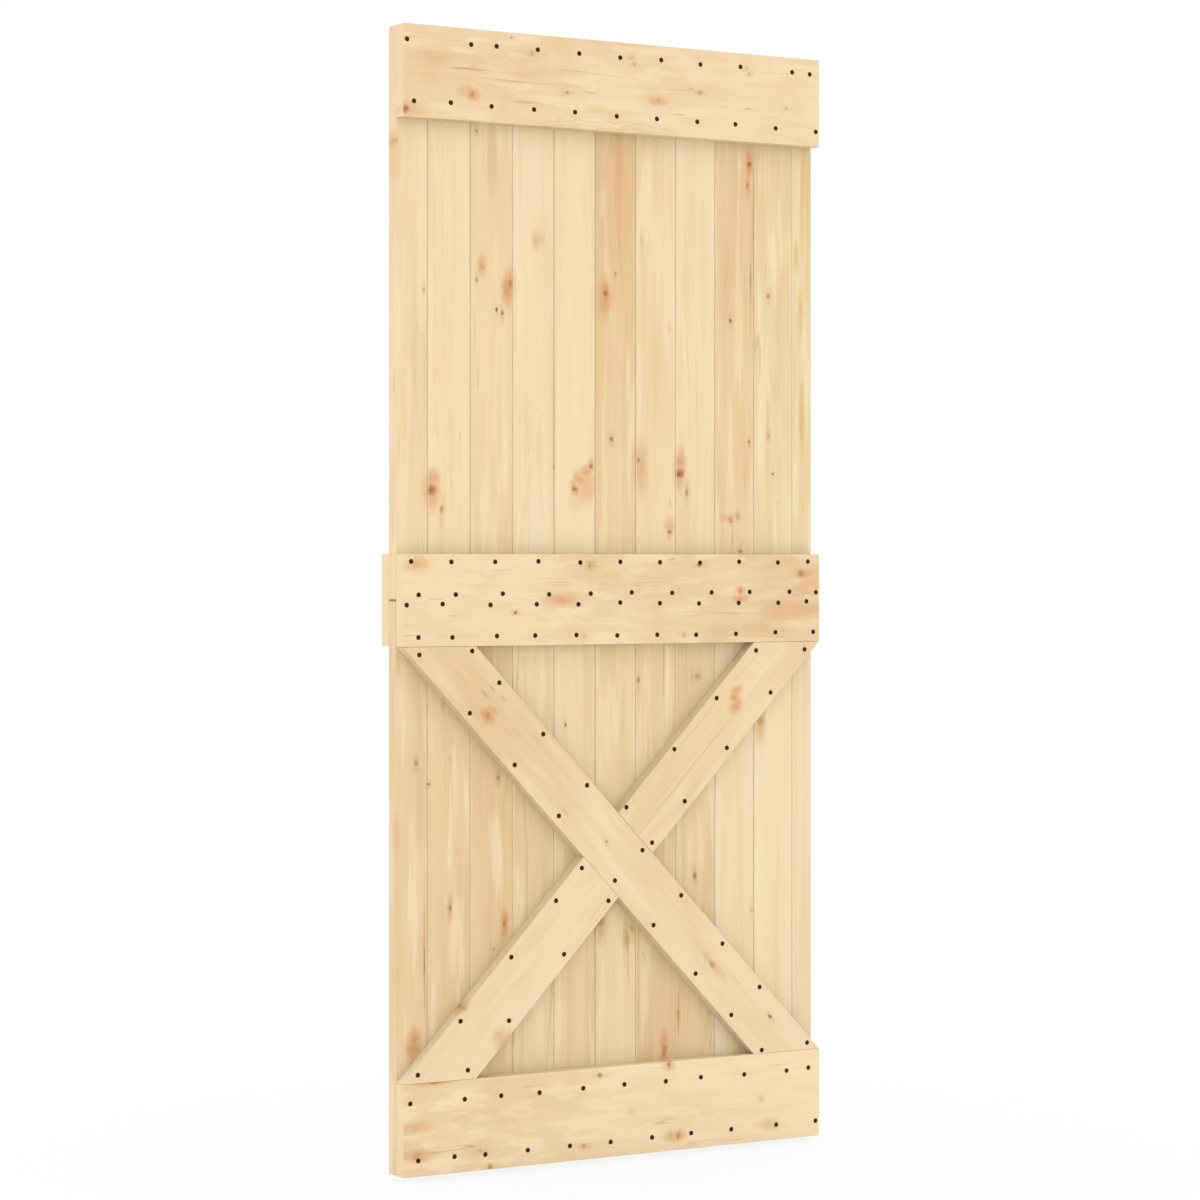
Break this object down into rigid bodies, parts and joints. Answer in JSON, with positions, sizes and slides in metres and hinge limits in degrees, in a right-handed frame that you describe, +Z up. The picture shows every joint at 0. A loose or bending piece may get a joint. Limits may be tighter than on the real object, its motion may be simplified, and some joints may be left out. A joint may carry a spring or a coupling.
{
  "type": "sliding door leaf",
  "caption": "Vertical plank door leaf in pale softwood, with front rails at top, middle and bottom, a rail behind the middle, and a cross of braces below.",
  "frame": {"origin": "front face of the top rail, at the centre of the door's width and of the rail's height, where hangers bolt on", "axes": "+Z up, front face normal -Y, +X to the right of someone facing the front"},
  "size_m": [0.9, 0.086, 2.08],
  "materials": {
    "plank_pine": "bare planed knotty pine, tongue and groove",
    "rail_pine": "bare planed knotty pine, grain along the rail",
    "brace_pine": "bare planed knotty pine, grain along the brace"
  },
  "bodies": {
    "root": {"upper_plank_01": "plank_pine", "upper_plank_02": "plank_pine", "upper_plank_03": "plank_pine", "upper_plank_04": "plank_pine", "upper_plank_05": "plank_pine", "upper_plank_06": "plank_pine", "upper_plank_07": "plank_pine", "upper_plank_08": "plank_pine", "upper_plank_09": "plank_pine", "upper_plank_10": "plank_pine", "upper_plank_11": "plank_pine", "lower_plank_01": "plank_pine", "lower_plank_02": "plank_pine", "lower_plank_03": "plank_pine", "lower_plank_04": "plank_pine", "lower_plank_05": "plank_pine", "lower_plank_06": "plank_pine", "lower_plank_07": "plank_pine", "lower_plank_08": "plank_pine", "lower_plank_09": "plank_pine", "lower_plank_10": "plank_pine", "lower_plank_11": "plank_pine", "top_rail": "rail_pine", "middle_rail_front": "rail_pine", "middle_rail_back": "rail_pine", "bottom_rail": "rail_pine", "falling_brace": "brace_pine", "rising_brace_upper": "brace_pine", "rising_brace_lower": "brace_pine"}
  },
  "joints": []
}
